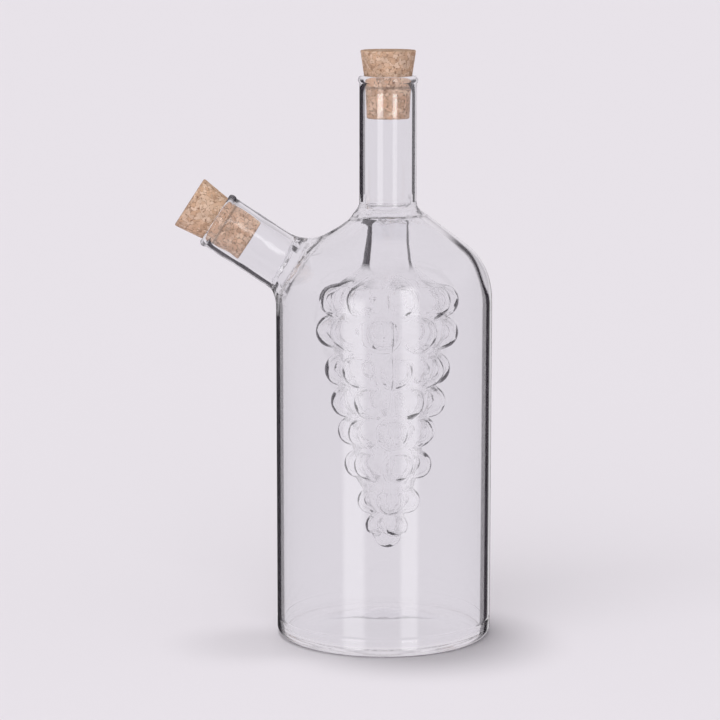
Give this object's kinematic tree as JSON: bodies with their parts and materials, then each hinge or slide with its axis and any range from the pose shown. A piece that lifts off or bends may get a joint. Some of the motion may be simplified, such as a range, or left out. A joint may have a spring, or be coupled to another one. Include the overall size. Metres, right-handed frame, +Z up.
{
  "type": "oil and vinegar bottle",
  "caption": "Clear blown-glass cruet: a hollow grape-bunch vessel for vinegar hangs inside a cylindrical oil chamber with a slanted side spout, and each mouth is closed by a cork.",
  "frame": {"origin": "centre of the foot, on the body's axis and in the plane that the bottle stands on", "axes": "+Z up along the body's axis, -X towards the side spout, which lies in the XZ plane, -Y towards the viewer"},
  "size_m": [0.1172, 0.08, 0.2188],
  "materials": {
    "clear_glass": "clear, fire-polished borosilicate glass",
    "ground_cork": "matt agglomerated cork with visible granules"
  },
  "bodies": {
    "bottle": {"outer_body": "clear_glass", "base": "clear_glass", "neck_tube": "clear_glass", "side_spout": "clear_glass", "ring_seal": "clear_glass", "spout_weld": "clear_glass", "grape_vessel": "clear_glass"},
    "vinegar_stopper": {"vinegar_stopper": "ground_cork"},
    "oil_stopper": {"oil_stopper": "ground_cork"}
  },
  "joints": [
    {"name": "vinegar_stopper_pull", "type": "slide", "parent": "bottle", "child": "vinegar_stopper", "axis": [0, 0, 1], "range_m": [0, 0.03]},
    {"name": "oil_stopper_pull", "type": "slide", "parent": "bottle", "child": "oil_stopper", "axis": [-0.8387, 0, 0.5446], "range_m": [0, 0.03]}
  ]
}
